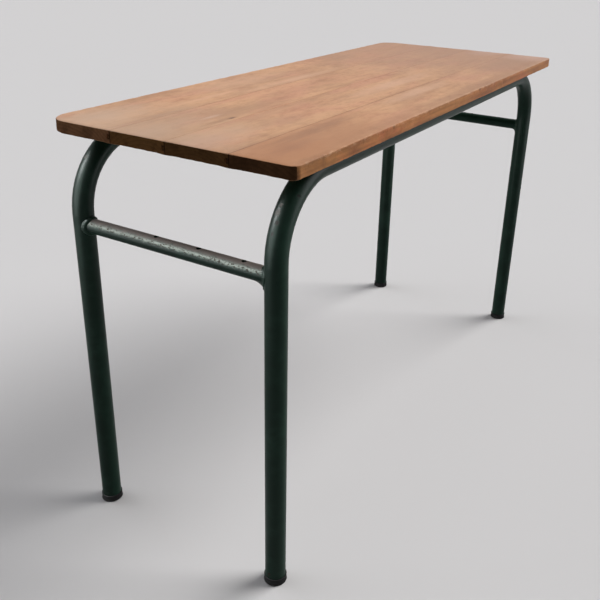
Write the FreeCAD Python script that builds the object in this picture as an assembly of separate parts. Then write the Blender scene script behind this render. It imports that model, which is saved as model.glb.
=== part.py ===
"""School desk: a tongued board top on two bent tube arches tied by a stretcher at each end.

Millimetres. The origin is on the floor under the middle of the top, +X runs along the top to the right,
-Y is the front long edge and +Z is up.
"""

import FreeCAD, Part
import math
import os

# Wood top. The boards run from the front edge to the rear edge.
top_length = 1200.0
front_board_width = 108.0
front_middle_board_width = 114.0
rear_middle_board_width = 107.0
rear_board_width = 141.0
top_thickness = 21.0
front_corner_radius = 14.0
rear_corner_radius = 42.0
edge_round = 2.0
tongue_length = 5.0
tongue_thickness = 6.5
groove_relief = 0.5
joint_ease = 0.4

# Bent arch tubes. The bend radius is on the centre line, and the insets are from the top's edges to the leg axes.
desk_height = 740.0
tube_diameter = 35.0
tube_wall = 1.5
bend_radius = 118.0
leg_end_inset = 21.0
leg_side_inset = 44.0

# Stretchers. The drop runs from the end of the bend down to the top of the stretcher.
stretcher_diameter = 25.0
stretcher_wall = 1.5
stretcher_drop = 6.0
cope_gap = 0.3
shelf_hole_diameter = 8.0
shelf_hole_spacing = 84.0
shelf_hole_count = 3
shelf_hole_shift = -51.0

# Weld beads between stretcher and leg.
weld_width = 4.5
weld_round = 3.0
weld_seat = 0.1

# Rubber ferrules on the legs.
foot_wall = 1.6
foot_flare = 0.4
foot_base = 5.0
foot_height = 13.0
foot_ease = 1.2
foot_fit = 0.2

# Wood screws that hold the top, and the holes that they pass through.
screws_per_rail = 4
screw_margin = 45.0
screw_shank_diameter = 4.5
screw_head_diameter = 9.0
screw_head_height = 3.0
screw_head_ease = 1.8
screw_bite = 13.0
screw_tip = 4.0
screw_point_diameter = 0.8
screw_fit = 0.2
pilot_relief = 1.0
access_play = 1.5

# How far a cutting shape runs past what it cuts.
overrun = 10.0

# Worked out from the sizes above.
board_widths = (front_board_width, front_middle_board_width, rear_middle_board_width, rear_board_width)
top_width = sum(board_widths)
tube_radius = tube_diameter / 2
bore_radius = tube_radius - tube_wall
stretcher_radius = stretcher_diameter / 2
underside_z = desk_height - top_thickness
rail_z = underside_z - tube_radius
bend_end_z = rail_z - bend_radius
leg_x = top_length / 2 - leg_end_inset
leg_y = top_width / 2 - leg_side_inset
rail_end_x = leg_x - bend_radius
stretcher_z = bend_end_z - stretcher_drop - stretcher_radius
head_seat_z = rail_z + math.sqrt(bore_radius ** 2 - (screw_head_diameter / 2 + screw_fit) ** 2)

ends = {"left": -1, "right": 1}
sides = {"front": -1, "rear": 1}
up = FreeCAD.Vector(0, 0, 1)


def vector(x, y, z):
    return FreeCAD.Vector(x, y, z)


def upright(radius, x, y, low, high):
    """A vertical cylinder between two heights."""
    return Part.makeCylinder(radius, high - low, vector(x, y, low), up)


def turned(outline, x, y):
    """A solid turned about an upright axis from points of radius and height."""
    face = Part.Face(Part.makePolygon([vector(x + r, y, z) for r, z in outline]))
    return face.revolve(vector(x, y, 0), up, 360)


def screw_places():
    """Where the screws stand along a rail."""
    reach = rail_end_x - screw_margin
    step = 2 * reach / (screws_per_rail - 1)
    return [-reach + step * i for i in range(screws_per_rail)]


def shelf_hole_places():
    """Where the holes stand along a stretcher."""
    middle = (shelf_hole_count - 1) / 2
    return [shelf_hole_shift + shelf_hole_spacing * (i - middle) for i in range(shelf_hole_count)]


def upright_edges(block, side):
    """The vertical edges of a block at one long side of the top."""
    edges = [e for e in block.Edges if e.BoundBox.ZLength > top_thickness / 2]
    return [e for e in edges if abs(e.CenterOfMass.y - side * top_width / 2) < overrun / 2]


def slab():
    """The whole top with rounded corners and eased edges, before it is parted into boards."""
    corner = vector(-top_length / 2, -top_width / 2, underside_z)
    block = Part.makeBox(top_length, top_width, top_thickness, corner)
    rounded = block.makeFillet(front_corner_radius, upright_edges(block, sides["front"]))
    rounded = rounded.makeFillet(rear_corner_radius, upright_edges(rounded, sides["rear"]))
    rims = [e for f in rounded.Faces if abs(f.normalAt(0, 0).dot(up)) > 0.5 for e in f.Edges]
    return rounded.makeFillet(edge_round, rims)


def board_profile(front, rear, first, last):
    """The board's outline across its width, with a groove to the front and a tongue to the rear."""
    low = underside_z - overrun
    high = desk_height + overrun
    middle = (underside_z + desk_height) / 2
    tongue_low = middle - tongue_thickness / 2
    tongue_high = middle + tongue_thickness / 2
    points = [(front, low), (rear, low)]
    if last:
        points += [(rear, high)]
    else:
        points += [(rear, tongue_low), (rear + tongue_length, tongue_low)]
        points += [(rear + tongue_length, tongue_high), (rear, tongue_high)]
        points += [(rear, desk_height - joint_ease), (rear - joint_ease, desk_height)]
        points += [(rear - joint_ease, high)]
    if first:
        points += [(front, high)]
    else:
        groove = front + tongue_length + groove_relief
        points += [(front + joint_ease, high), (front + joint_ease, desk_height)]
        points += [(front, desk_height - joint_ease), (front, tongue_high)]
        points += [(groove, tongue_high), (groove, tongue_low), (front, tongue_low)]
    return points + points[:1]


def board(whole, index):
    """One board of the top, with pilot holes where a rail runs under it."""
    front = -top_width / 2 + sum(board_widths[:index])
    rear = front + board_widths[index]
    first = index == 0
    last = index == len(board_widths) - 1
    outline = board_profile(front - overrun * first, rear + overrun * last, first, last)
    start = -top_length / 2 - overrun
    face = Part.Face(Part.makePolygon([vector(start, y, z) for y, z in outline]))
    piece = whole.common(face.extrude(vector(top_length + 2 * overrun, 0, 0)))
    pilot = screw_shank_diameter / 2 + screw_fit
    depth = screw_bite + pilot_relief
    for side in sides.values():
        if front < side * leg_y < rear:
            for x in screw_places():
                piece = piece.cut(upright(pilot, x, side * leg_y, underside_z - overrun, underside_z + depth))
    return piece


def arch_path(y):
    """The arch's centre line: a leg, a bend, the rail, a bend and a leg."""
    lean = bend_radius * math.sqrt(0.5)
    middle_z = bend_end_z + lean
    foot_left = vector(-leg_x, y, foot_base)
    foot_right = vector(leg_x, y, foot_base)
    bend_left = vector(-leg_x, y, bend_end_z)
    bend_right = vector(leg_x, y, bend_end_z)
    rail_left = vector(-rail_end_x, y, rail_z)
    rail_right = vector(rail_end_x, y, rail_z)
    pieces = [
        Part.LineSegment(foot_left, bend_left),
        Part.Arc(bend_left, vector(-rail_end_x - lean, y, middle_z), rail_left),
        Part.LineSegment(rail_left, rail_right),
        Part.Arc(rail_right, vector(rail_end_x + lean, y, middle_z), bend_right),
        Part.LineSegment(bend_right, foot_right),
    ]
    return Part.Wire([piece.toShape() for piece in pieces])


def swept(path, radius):
    """A round bar along a path that starts upright."""
    start = path.OrderedVertexes[0].Point
    section = Part.Wire(Part.makeCircle(radius, start, up))
    return path.makePipeShell([section], True, False)


def arch_tube(y):
    """A bent tube with, at each screw, a snug hole above and a wide access hole below."""
    path = arch_path(y)
    tube = swept(path, tube_radius).cut(swept(path, bore_radius))
    snug = screw_shank_diameter / 2 + screw_fit
    access = screw_head_diameter / 2 + access_play
    for x in screw_places():
        tube = tube.cut(upright(snug, x, y, rail_z, underside_z + overrun))
        tube = tube.cut(upright(access, x, y, rail_z - tube_radius - overrun, rail_z))
    return tube


def leg_bar(x, y, radius):
    """An upright bar round a leg's axis, past the stretcher above and below."""
    reach = stretcher_diameter + overrun
    return upright(radius, x, y, stretcher_z - reach, stretcher_z + reach)


def stretcher(x):
    """A tube coped to the two legs of one end, with holes through the top of its wall."""
    start = vector(x, -leg_y, stretcher_z)
    along = vector(0, 1, 0)
    bar = Part.makeCylinder(stretcher_radius, 2 * leg_y, start, along)
    bore = Part.makeCylinder(stretcher_radius - stretcher_wall, 2 * leg_y, start, along)
    tube = bar.cut(bore)
    for y in (-leg_y, leg_y):
        tube = tube.cut(leg_bar(x, y, tube_radius + cope_gap))
    hole_top = stretcher_z + stretcher_radius + overrun
    for y in shelf_hole_places():
        tube = tube.cut(upright(shelf_hole_diameter / 2, x, y, stretcher_z, hole_top))
    return tube


def weld(x, side):
    """The bead round a stretcher's end: where a sleeve on the leg and a sleeve on the stretcher meet."""
    y = side * leg_y
    start = vector(x, y, stretcher_z)
    inward = vector(0, -side, 0)
    reach = tube_radius + weld_width + overrun
    inner = stretcher_radius + weld_seat
    sleeve = Part.makeCylinder(inner + weld_width, reach, start, inward)
    seat = Part.makeCylinder(inner, reach, start, inward)
    leg_side = tube_radius + weld_seat
    ring = sleeve.common(leg_bar(x, y, leg_side + weld_width))
    bead = ring.cut(leg_bar(x, y, leg_side)).cut(seat)
    return bead.makeFillet(weld_round, crest_edges(bead, x, y))


def crest_edges(bead, x, y):
    """The bead's outer edges: those far from both the leg's axis and the stretcher's axis."""
    crest = []
    leg_limit = tube_radius + weld_seat + weld_width / 2
    stretcher_limit = stretcher_radius + weld_seat + weld_width / 2
    for edge in bead.Edges:
        point = edge.valueAt((edge.FirstParameter + edge.LastParameter) / 2)
        from_leg = math.hypot(point.x - x, point.y - y)
        from_stretcher = math.hypot(point.x - x, point.z - stretcher_z)
        if from_leg > leg_limit and from_stretcher > stretcher_limit:
            crest.append(edge)
    return crest


def foot(x, y):
    """A rubber ferrule: a cup that the leg stands in, a little wider at the floor than at its lip."""
    socket = tube_radius + foot_fit
    lip = socket + foot_wall
    ground = lip + foot_flare
    outline = [
        (0, 0),
        (ground - foot_ease, 0),
        (ground, foot_ease),
        (lip, foot_height - foot_ease / 2),
        (lip - foot_ease / 2, foot_height),
        (socket, foot_height),
        (socket, foot_base),
        (0, foot_base),
        (0, 0),
    ]
    return turned(outline, x, y)


def screw(x, y):
    """A round-head wood screw that stands point up, its head inside the rail."""
    shank = screw_shank_diameter / 2
    head = screw_head_diameter / 2
    point = screw_point_diameter / 2
    crown_z = head_seat_z - screw_head_height
    tip_z = underside_z + screw_bite
    outline = [
        (0, crown_z),
        (head - screw_head_ease, crown_z),
        (head, crown_z + screw_head_ease),
        (head, head_seat_z),
        (shank, head_seat_z),
        (shank, tip_z - screw_tip),
        (point, tip_z),
        (0, tip_z),
        (0, crown_z),
    ]
    return turned(outline, x, y)


def pieces():
    """Every piece of the desk by its name."""
    whole = slab()
    made = {f"top_board_{i + 1}": board(whole, i) for i in range(len(board_widths))}
    for side, sign_y in sides.items():
        made[f"{side}_arch_tube"] = arch_tube(sign_y * leg_y)
        made[f"{side}_rail_screws"] = Part.makeCompound([screw(x, sign_y * leg_y) for x in screw_places()])
    for end, sign_x in ends.items():
        made[f"{end}_stretcher"] = stretcher(sign_x * leg_x)
        for side, sign_y in sides.items():
            made[f"weld_{side}_{end}"] = weld(sign_x * leg_x, sign_y)
            made[f"foot_{side}_{end}"] = foot(sign_x * leg_x, sign_y * leg_y)
    return made


os.makedirs("parts", exist_ok=True)
for name, shape in pieces().items():
    shape.exportStep(f"parts/{name}.step")
    print(name, "solids", len(shape.Solids), "valid", shape.isValid(), "volume", round(shape.Volume))
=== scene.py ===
"""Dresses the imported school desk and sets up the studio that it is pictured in.

Metres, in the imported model's frame: the origin is on the floor under the middle of the top, +X runs along
the top to the right, -Y is the front long edge and +Z is up.
"""

import logging
import math
from collections.abc import Iterable, Sequence
from dataclasses import dataclass, field
from enum import Enum
from functools import reduce

import bpy
from mathutils import Matrix, Vector


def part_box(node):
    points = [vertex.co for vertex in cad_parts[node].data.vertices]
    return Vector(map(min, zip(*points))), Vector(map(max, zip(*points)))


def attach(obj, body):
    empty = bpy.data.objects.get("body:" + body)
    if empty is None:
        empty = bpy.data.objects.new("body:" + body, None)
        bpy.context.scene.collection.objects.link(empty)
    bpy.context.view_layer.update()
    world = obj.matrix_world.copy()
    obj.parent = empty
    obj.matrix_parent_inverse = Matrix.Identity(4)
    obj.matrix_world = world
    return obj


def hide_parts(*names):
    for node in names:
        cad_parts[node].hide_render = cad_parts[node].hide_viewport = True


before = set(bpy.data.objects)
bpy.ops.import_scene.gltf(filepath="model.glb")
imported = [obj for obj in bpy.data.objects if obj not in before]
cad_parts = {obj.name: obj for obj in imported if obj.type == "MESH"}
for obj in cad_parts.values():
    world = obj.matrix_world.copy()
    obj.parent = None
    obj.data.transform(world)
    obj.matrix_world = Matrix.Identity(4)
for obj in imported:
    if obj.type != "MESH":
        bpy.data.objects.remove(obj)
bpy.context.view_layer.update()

log = logging.getLogger("school_desk")

Colour = tuple[float, float, float, float]
Point = tuple[float, float, float]
Pair = tuple[float, float]
Socket = bpy.types.NodeSocket
Piece = bpy.types.Object
Material = bpy.types.Material
Feed = Socket | float | tuple[float, ...]
Feeds = dict[str, Feed]
Sockets = dict[str, Socket]

BODY = "root"
BOARD_NODES = ("top_board_1", "top_board_2", "top_board_3", "top_board_4")
ORIGIN: Point = (0.0, 0.0, 0.0)
ALONG_X = Vector((1, 0, 0))
ALONG_Y = Vector((0, 1, 0))
UP = Vector((0, 0, 1))
FACING = 0.9
SAME_PLACE = 1e-6


class Word(Enum):
    """A choice whose name, in small letters, is a word of node names."""

    @property
    def word(self) -> str:
        """The word in node names."""
        return self.name.lower()


class Side(Word):
    """The long sides of the desk, with the sign of Y."""

    FRONT = -1
    REAR = 1


class End(Word):
    """The short ends of the desk, with the sign of X."""

    LEFT = -1
    RIGHT = 1


class Slot(Enum):
    """The record's material slots."""

    WOOD = "wood_top"
    PAINT = "green_paint"
    RUBBER = "foot_rubber"
    STEEL = "screw_steel"


class Effect(Enum):
    """The shared shader groups."""

    GRAIN = "plank_grain"
    JOINT = "joint_shadow"
    RIM = "rim_inset"
    PATCHES = "worn_patches"
    MARK = "single_mark"


class Blend(Enum):
    """How a tint is laid on a colour."""

    COVER = "MIX"
    DEEPEN = "MULTIPLY"


class LampKind(Enum):
    """The kinds of lamp."""

    SUN = "SUN"
    CARD = "AREA"


class Reach(Enum):
    """How a lamp reaches the desk: as light and reflection, or as one of them alone."""

    BOTH = "both"
    LIGHT = "light"
    SHINE = "shine"


def srgb(red: int, green: int, blue: int) -> Colour:
    """Turns a screen colour into the linear colour that shaders take.

    Args:
        red: Red, from 0 to 255.
        green: Green, from 0 to 255.
        blue: Blue, from 0 to 255.

    Returns:
        The linear colour with full alpha.
    """
    steps = [c / 255 for c in (red, green, blue)]
    linear = [s / 12.92 if s <= 0.04045 else ((s + 0.055) / 1.055) ** 2.4 for s in steps]
    return (*linear, 1.0)


@dataclass(frozen=True)
class Clouds:
    """A cloudy pattern: its cells to a metre along X, Y and Z, and how its finer layers are added."""

    cells: Point
    detail: float = 3.0
    roughness: float = 0.55
    shift: Point = ORIGIN


class Graph:
    """Short calls that add and join the nodes of one shader tree."""

    def __init__(self, tree: bpy.types.NodeTree) -> None:
        """Starts from an emptied tree."""
        self.tree = tree
        tree.nodes.clear()

    def feed(self, socket: Socket, value: Feed) -> None:
        """Links a socket to another one, or sets its value.

        Args:
            socket: The input.
            value: The output that it is linked to, or its value.
        """
        if isinstance(value, bpy.types.NodeSocket):
            self.tree.links.new(value, socket)
        else:
            socket.default_value = value

    def add(self, kind: str, feeds: dict | None = None, **settings: object) -> bpy.types.Node:
        """Adds a node.

        Args:
            kind: The node's type name.
            feeds: What each input, by name or number, is linked or set to.
            **settings: The node's own properties, set before its inputs.

        Returns:
            The new node.
        """
        node = self.tree.nodes.new(kind)
        for name, value in settings.items():
            setattr(node, name, value)
        for key, value in (feeds or {}).items():
            self.feed(node.inputs[key], value)
        return node

    def math(self, operation: str, *values: Feed) -> Socket:
        """A Math node's result."""
        return self.add("ShaderNodeMath", dict(enumerate(values)), operation=operation).outputs[0]

    def times(self, *values: Feed) -> Socket:
        """The product of several values."""
        return reduce(lambda first, second: self.math("MULTIPLY", first, second), values)

    def plus(self, first: Feed, second: Feed) -> Socket:
        """The sum of two values."""
        return self.math("ADD", first, second)

    def minus(self, first: Feed, second: Feed) -> Socket:
        """The first value less the second."""
        return self.math("SUBTRACT", first, second)

    def size(self, value: Feed) -> Socket:
        """A value without its sign."""
        return self.math("ABSOLUTE", value)

    def largest(self, values: Iterable[Socket]) -> Socket:
        """The largest of several values."""
        return reduce(lambda first, second: self.math("MAXIMUM", first, second), values)

    def vector(self, operation: str, *values: Feed) -> Socket:
        """A Vector Math node's vector result."""
        return self.add("ShaderNodeVectorMath", dict(enumerate(values)), operation=operation).outputs[0]

    def measure(self, operation: str, *values: Feed) -> Socket:
        """A Vector Math node's single result, such as a length."""
        node = self.add("ShaderNodeVectorMath", dict(enumerate(values)), operation=operation)
        return node.outputs["Value"]

    def split(self, value: Feed) -> Sequence[Socket]:
        """A vector's three parts."""
        return self.add("ShaderNodeSeparateXYZ", {0: value}).outputs

    def join(self, x: Feed, y: Feed, z: Feed = 0.0) -> Socket:
        """A vector made of three parts."""
        return self.add("ShaderNodeCombineXYZ", {0: x, 1: y, 2: z}).outputs[0]

    def mix(self, share: Feed, first: Feed, second: Feed, blend: Blend = Blend.COVER) -> Socket:
        """A blend of two colours, from the first at share 0 to the second at share 1."""
        feeds = {0: share, 6: first, 7: second}
        return self.add("ShaderNodeMix", feeds, data_type="RGBA", blend_type=blend.value).outputs[2]

    def smooth(self, value: Feed, low: Feed, high: Feed) -> Socket:
        """A soft step from 0 at low to 1 at high."""
        feeds = {"Value": value, "From Min": low, "From Max": high}
        return self.add("ShaderNodeMapRange", feeds, interpolation_type="SMOOTHSTEP").outputs[0]

    def span(self, value: Feed, low: Feed, high: Feed) -> Socket:
        """A value from 0 to 1 spread evenly from low to high."""
        return self.add("ShaderNodeMapRange", {"Value": value, "To Min": low, "To Max": high}).outputs[0]

    def clouds(self, position: Feed, clouds: Clouds) -> Socket:
        """Adds a cloudy pattern.

        Args:
            position: The place that is asked about.
            clouds: The pattern.

        Returns:
            The pattern's value there, from 0 to 1.
        """
        if clouds.shift != ORIGIN:
            position = self.vector("ADD", position, clouds.shift)
        scaled = self.vector("MULTIPLY", position, clouds.cells)
        feeds = {"Vector": scaled, "Scale": 1.0, "Detail": clouds.detail, "Roughness": clouds.roughness}
        return self.add("ShaderNodeTexNoise", feeds).outputs[0]


class Group(Graph):
    """The graph of a shared shader group."""

    def __init__(self, effect: Effect, inputs: Feeds) -> None:
        """Starts the group.

        Args:
            effect: Which group.
            inputs: The starting value of each input, which also gives its kind.
        """
        super().__init__(bpy.data.node_groups.new(effect.value, "ShaderNodeTree"))
        for key, value in inputs.items():
            kind = "NodeSocketVector" if isinstance(value, tuple) else "NodeSocketFloat"
            self.tree.interface.new_socket(key, in_out="INPUT", socket_type=kind).default_value = value
        arriving = self.add("NodeGroupInput").outputs
        self.source = {key: arriving[key] for key in inputs}

    def close(self, outputs: Sockets) -> bpy.types.NodeTree:
        """Ends the group.

        Args:
            outputs: The values that it gives, by name.

        Returns:
            The finished group.
        """
        for key in outputs:
            self.tree.interface.new_socket(key, in_out="OUTPUT", socket_type="NodeSocketFloat")
        self.add("NodeGroupOutput", outputs)
        return self.tree


GRAIN_CLOUDS = {
    "Streaks": Clouds((4.0, 120.0, 120.0), 4.0, 0.6),
    "Fibres": Clouds((26.0, 900.0, 900.0), 2.0, 0.6),
    "Tone": Clouds((4.0, 11.0, 11.0), 6.0, 0.64),
    "Blush": Clouds((5.0, 15.0, 15.0), 5.0, 0.62, shift=(7.3, 2.9, 5.1)),
    "Smudge": Clouds((9.0, 22.0, 22.0), 6.0, 0.7, shift=(3.7, 9.1, 1.3)),
    "Mottle": Clouds((45.0, 90.0, 90.0), 4.0, 0.7),
    "Ticks": Clouds((170.0, 30.0, 40.0), 3.0, 0.6),
}


@dataclass
class Effects:
    """The shader groups that several finishes share, each built once."""

    ring_wander_cells: Point = (1.7, 5.0, 5.0)
    ring_wander: Point = (0.0, 0.05, 0.05)
    ring_sharpness: float = 2.2
    ring_fall: float = 0.9
    cheek_share: float = 0.7
    broad_patches: Clouds = Clouds((1.0, 1.0, 1.0), 4.0, 0.68)
    fine_patches: Clouds = Clouds((6.5, 6.5, 6.5), 3.0, 0.6)
    broad_share: float = 0.72
    patch_level: float = 0.74
    patch_spread: float = 0.46
    patch_softness: float = 0.02
    mark_clouds: Clouds = Clouds((2.3, 2.3, 2.3), 4.0, 0.62)
    groups: dict[Effect, bpy.types.NodeTree] = field(default_factory=dict)

    def __post_init__(self) -> None:
        """Builds every group."""
        for build in (self._grain, self._joint, self._rim, self._patches, self._mark):
            build()

    def _grain(self) -> None:
        """Builds the grain of a plank that runs along X: its year rings and the clouds of its tones."""
        graph = Group(Effect.GRAIN, {"Position": ORIGIN, "Pith": ORIGIN, "Ring Width": 0.006, "Seed": 0.0})
        position, seed = graph.source["Position"], graph.source["Seed"]
        place = graph.vector("ADD", position, graph.join(seed, seed))
        cells = graph.vector("MULTIPLY", place, self.ring_wander_cells)
        wander = graph.add("ShaderNodeTexNoise", {"Vector": cells, "Scale": 1.0}).outputs["Color"]
        drift = graph.vector("SUBTRACT", wander, (0.5, 0.5, 0.5))
        bent = graph.vector("ADD", position, graph.vector("MULTIPLY", drift, self.ring_wander))
        from_pith = graph.vector("SUBTRACT", bent, graph.source["Pith"])
        radius = graph.measure("LENGTH", graph.vector("MULTIPLY", from_pith, (0.0, 1.0, 1.0)))
        year = graph.math("FRACT", graph.math("DIVIDE", radius, graph.source["Ring Width"]))
        late = graph.math("POWER", year, self.ring_sharpness)
        tones = {name: graph.clouds(place, clouds) for name, clouds in GRAIN_CLOUDS.items()}
        rings = graph.times(late, graph.smooth(year, 1.0, self.ring_fall))
        self.groups[Effect.GRAIN] = graph.close({"Rings": rings, **tones})

    def _joint(self) -> None:
        """Builds the dark line of a tongued joint, both along the top and across the boards' ends, and a
        soft band of painted shade beside it.
        """
        start = {
            "Position": ORIGIN,
            "Joint": 0.0,
            "Tongue": 0.005,
            "Middle": 0.73,
            "Half Tongue": 0.003,
            "Width": 0.001,
            "End Width": 0.002,
            "Halo Width": 0.010,
        }
        graph = Group(Effect.JOINT, start)
        position, joint, tongue, middle_z, half_tongue, width, end_width, painted_shade_halo_width = graph.source.values()
        _, y, z = graph.split(position)
        across = graph.minus(y, joint)
        beside = graph.size(across)
        height = graph.size(graph.minus(z, middle_z))
        seam = graph.smooth(beside, end_width, 0.0)
        tip = graph.smooth(graph.size(graph.minus(across, tongue)), end_width, 0.0)
        tip = graph.times(tip, graph.math("LESS_THAN", height, half_tongue))
        from_cheek = graph.size(graph.minus(height, half_tongue))
        cheek = graph.smooth(from_cheek, graph.times(end_width, self.cheek_share), 0.0)
        middle = graph.times(tongue, 0.5)
        inside = graph.math("COMPARE", across, middle, middle)
        lines = {
            "Line": graph.smooth(beside, width, 0.0),
            "Step": graph.largest((seam, tip, graph.times(cheek, inside))),
            # Halo: painted shade in a soft band beside the joint
            "Halo": graph.smooth(beside, painted_shade_halo_width, 0.0),
        }
        self.groups[Effect.JOINT] = graph.close(lines)

    def _rim(self) -> None:
        """Builds how far a point lies inside the rounded outline of the top."""
        graph = Group(Effect.RIM, {"Position": ORIGIN, "Half Size": (0.6, 0.235, 0.0), "Corner": 0.035})
        corner = graph.source["Corner"]
        flat = graph.vector("MULTIPLY", graph.vector("ABSOLUTE", graph.source["Position"]), (1.0, 1.0, 0.0))
        past = graph.vector("SUBTRACT", flat, graph.source["Half Size"])
        past = graph.vector("ADD", past, graph.join(corner, corner))
        past_x, past_y, _ = graph.split(past)
        outer = graph.measure("LENGTH", graph.vector("MAXIMUM", past, ORIGIN))
        inner = graph.math("MINIMUM", graph.largest((past_x, past_y)), 0.0)
        self.groups[Effect.RIM] = graph.close({"Inset": graph.minus(corner, graph.plus(outer, inner))})

    def _patches(self) -> None:
        """Builds ragged patches of wear, which spread as their share grows."""
        graph = Group(Effect.PATCHES, {"Position": ORIGIN, "Share": 0.2, "Cells": 60.0})
        cells = graph.source["Cells"]
        scaled = graph.vector("MULTIPLY", graph.source["Position"], graph.join(cells, cells, cells))
        broad = graph.times(graph.clouds(scaled, self.broad_patches), self.broad_share)
        fine = graph.times(graph.clouds(scaled, self.fine_patches), 1 - self.broad_share)
        edge = graph.minus(self.patch_level, graph.times(graph.source["Share"], self.patch_spread))
        patches = graph.smooth(graph.plus(broad, fine), edge, graph.plus(edge, self.patch_softness))
        self.groups[Effect.PATCHES] = graph.close({"Patches": patches})

    def _mark(self) -> None:
        """Builds one soft oval mark with a ragged edge."""
        start = {
            "Position": ORIGIN,
            "Centre": ORIGIN,
            "Reach": (0.01, 0.01, 0.01),
            "Core": 0.35,
            "Ragged": 1.2,
        }
        graph = Group(Effect.MARK, start)
        position, centre, reach, core, ragged = graph.source.values()
        away = graph.vector("DIVIDE", graph.vector("SUBTRACT", position, centre), reach)
        clouds = graph.clouds(graph.vector("ADD", away, centre), self.mark_clouds)
        edge = graph.plus(graph.measure("LENGTH", away), graph.times(graph.minus(clouds, 0.5), ragged))
        self.groups[Effect.MARK] = graph.close({"Mark": graph.smooth(edge, 1.0, core)})


class Surface(Graph):
    """The graph of one material, with the point that is shaded."""

    def __init__(self, name: str, effects: Effects) -> None:
        """Starts the material.

        Args:
            name: The material's name.
            effects: The shared shader groups.
        """
        self.material = bpy.data.materials.new(name)
        self.material.use_nodes = True
        super().__init__(self.material.node_tree)
        self.effects = effects
        spot = self.add("ShaderNodeTexCoord").outputs
        self.position, self.normal = spot["Object"], spot["Normal"]

    def place(self, effect: Effect, feeds: Feeds) -> Sockets:
        """Puts a shared group in the material.

        Args:
            effect: Which group.
            feeds: What its inputs are linked or set to, apart from the position.

        Returns:
            Its outputs by name.
        """
        feeds = {"Position": self.position, **feeds}
        node = self.add("ShaderNodeGroup", feeds, node_tree=self.effects.groups[effect])
        return {socket.name: socket for socket in node.outputs}

    def patches(self, share: Feed, cells: float) -> Socket:
        """Worn patches on a share of the surface."""
        return self.place(Effect.PATCHES, {"Share": share, "Cells": cells})["Patches"]

    def cloudy(self, clouds: Clouds, step: Pair) -> Socket:
        """A cloudy pattern of the surface that goes through a soft step."""
        return self.smooth(self.clouds(self.position, clouds), *step)

    def close(self, feeds: Feeds, height: Socket, depth: float) -> Material:
        """Ends the material with its shader.

        Args:
            feeds: What the shader's inputs are linked or set to.
            height: The relief of the surface, from 0 to 1.
            depth: How deep the relief is.

        Returns:
            The finished material.
        """
        bump = self.add("ShaderNodeBump", {"Strength": 1.0, "Distance": depth, "Height": height})
        shader = self.add("ShaderNodeBsdfPrincipled", {**feeds, "Normal": bump.outputs[0]})
        self.add("ShaderNodeOutputMaterial", {"Surface": shader.outputs[0]})
        return self.material


@dataclass(frozen=True)
class DeskSizes:
    """The lengths that pieces and finishes share."""

    half_length: float
    half_width: float
    top_z: float
    underside_z: float
    joints: tuple[float, ...]
    tongue: float
    tube_radius: float
    leg_x: float
    leg_y: float
    stretcher_radius: float
    stretcher_z: float

    @property
    def board_middle_z(self) -> float:
        """The height of the middle of the boards."""
        return (self.top_z + self.underside_z) / 2

    @classmethod
    def from_frame(cls) -> "DeskSizes":
        """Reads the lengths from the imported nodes.

        Returns:
            The lengths.
        """
        boards = [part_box(node) for node in BOARD_NODES]
        tube_low, tube_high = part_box("rear_arch_tube")
        bar_low, bar_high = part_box("right_stretcher")
        tube_radius = (tube_high.y - tube_low.y) / 2
        return cls(
            half_length=boards[0][1].x,
            half_width=boards[-1][1].y,
            top_z=boards[0][1].z,
            underside_z=boards[0][0].z,
            joints=tuple(low.y for low, _ in boards[1:]),
            tongue=boards[0][1].y - boards[1][0].y,
            tube_radius=tube_radius,
            leg_x=tube_high.x - tube_radius,
            leg_y=(tube_low.y + tube_high.y) / 2,
            stretcher_radius=(bar_high.z - bar_low.z) / 2,
            stretcher_z=(bar_high.z + bar_low.z) / 2,
        )


@dataclass(frozen=True)
class Mark:
    """A single mark on a surface: a mark of use, or a patch of painted sheen, shade or highlight."""

    centre: Point
    reach: Point
    tint: Colour
    strength: float
    core: float = 0.35

    def laid_on(self, surface: Surface, colour: Socket) -> tuple[Socket, Socket]:
        """Tints a colour where the mark lies.

        Args:
            surface: The material's graph.
            colour: The colour without the mark.

        Returns:
            The colour with the mark, and the mark's own mask.
        """
        feeds = {"Centre": self.centre, "Reach": self.reach, "Core": self.core}
        mask = surface.times(surface.place(Effect.MARK, feeds)["Mark"], self.strength)
        return surface.mix(mask, colour, self.tint), mask


@dataclass(frozen=True)
class WoodColours:
    """The colours of the worn wood."""

    pale: Colour = srgb(215, 167, 128)
    olive: Colour = srgb(189, 143, 108)
    blush: Colour = srgb(206, 150, 120)
    ripe: Colour = srgb(168, 122, 90)
    edge: Colour = srgb(186, 118, 70)
    red_edge: Colour = srgb(198, 118, 74)
    ochre_edge: Colour = srgb(200, 142, 86)
    under: Colour = srgb(176, 144, 112)
    dirt: Colour = srgb(40, 26, 18)
    bare: Colour = srgb(226, 184, 148)


WOOD = WoodColours()


@dataclass(frozen=True)
class Layer:
    """A tint laid on wood by one pattern of its grain, which may go through a soft step."""

    pattern: str
    tint: Colour
    strength: float
    step: Pair | None = None
    blend: Blend = Blend.COVER

    def laid_on(self, surface: Surface, grain: Sockets, colour: Feed) -> Socket:
        """The colour with the layer on it."""
        mask = surface.smooth(grain[self.pattern], *self.step) if self.step else grain[self.pattern]
        return surface.mix(surface.times(mask, self.strength), colour, self.tint, self.blend)


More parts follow.
